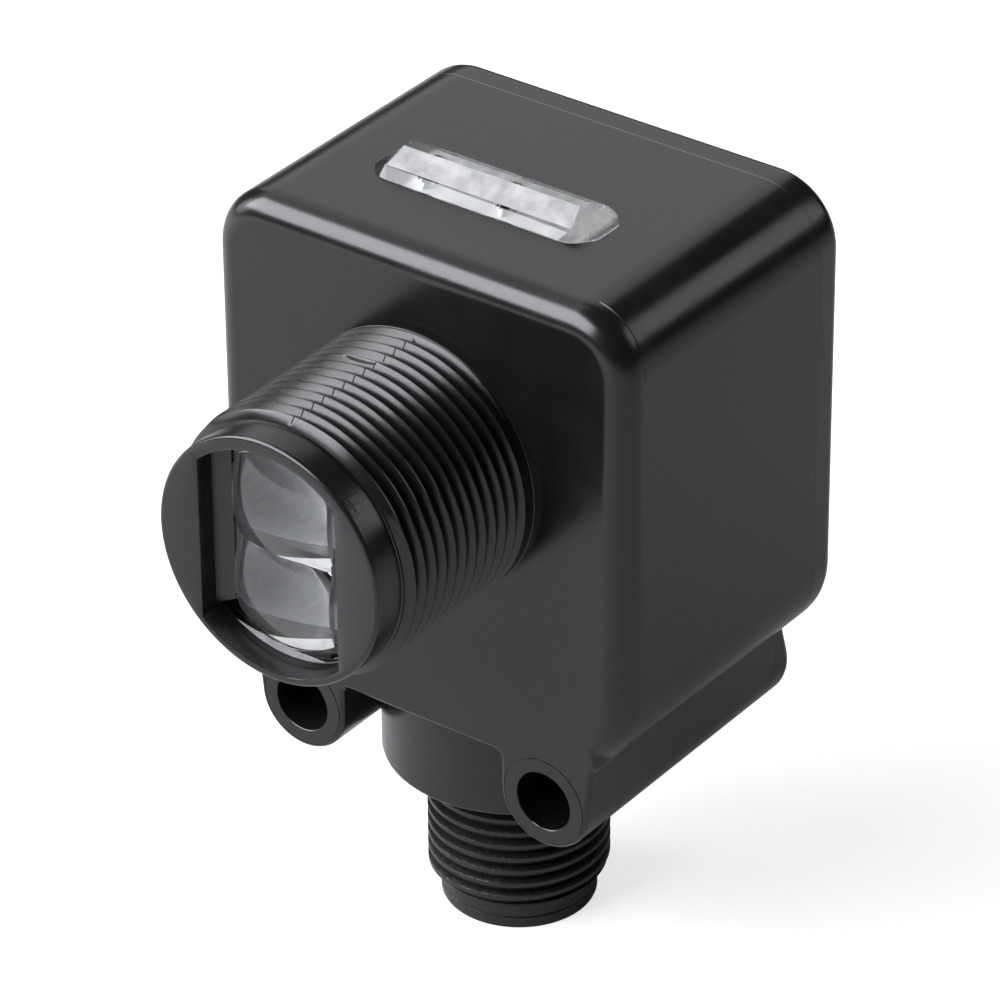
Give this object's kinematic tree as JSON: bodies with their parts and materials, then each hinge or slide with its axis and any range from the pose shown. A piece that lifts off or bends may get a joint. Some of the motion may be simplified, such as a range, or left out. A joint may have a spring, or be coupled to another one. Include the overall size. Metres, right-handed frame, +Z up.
{
  "type": "photoelectric sensor",
  "caption": "Box-shaped optical sensor with a threaded round nose, a domed clear lens, a clear status window on top, drilled lugs and a threaded round connector below.",
  "frame": {"origin": "on the nose axis, in the plane of the body's front face, which seats against a panel or bracket", "axes": "-Y is the optical axis, out of the nose; -Z is out of the connector; +Z is up, towards the status window; X runs across the body"},
  "size_m": [0.032, 0.0375, 0.0537],
  "materials": {
    "body_plastic": "satin black moulded thermoplastic with a fine grain",
    "bezel_plastic": "satin dark grey moulded thermoplastic",
    "connector_plastic": "rough black glass-filled plastic",
    "clear_plastic": "polished clear acrylic",
    "window_plastic": "clear acrylic with a frosted front slope",
    "seal_rubber": "matt black rubber",
    "baffle_plastic": "matt black",
    "board": "green solder mask",
    "chip_epoxy": "matt black epoxy",
    "led_epoxy": "clear epoxy",
    "diode_epoxy": "dark infrared-pass epoxy",
    "capacitor_ceramic": "satin brown ceramic with tinned ends",
    "shield_metal": "tinned sheet",
    "gold_contact": "gold plated",
    "green_led": "tinted clear epoxy",
    "amber_led": "tinted clear epoxy",
    "brown_wire": "extruded insulation",
    "white_wire": "extruded insulation",
    "blue_wire": "extruded insulation",
    "black_wire": "extruded insulation"
  },
  "bodies": {
    "root": {"housing": "body_plastic", "rear_cover": "body_plastic", "nose_bezel": "bezel_plastic", "lens": "clear_plastic", "lens_seal": "seal_rubber", "light_baffle": "baffle_plastic", "emitter_led": "led_epoxy", "receiver_diode": "diode_epoxy", "receiver_shield": "shield_metal", "optics_board": "board", "board_link": "gold_contact", "main_board": "board", "control_chip": "chip_epoxy", "voltage_regulator": "chip_epoxy", "output_transistors": "chip_epoxy", "protection_diodes": "chip_epoxy", "filter_capacitors": "capacitor_ceramic", "power_indicator": "green_led", "output_indicator": "amber_led", "indicator_window": "window_plastic", "connector_shell": "connector_plastic", "connector_seal": "seal_rubber", "contact_carrier": "connector_plastic", "contact_pin_1": "gold_contact", "contact_pin_2": "gold_contact", "contact_pin_3": "gold_contact", "contact_pin_4": "gold_contact", "lead_1": "brown_wire", "lead_2": "white_wire", "lead_3": "blue_wire", "lead_4": "black_wire"}
  },
  "joints": []
}
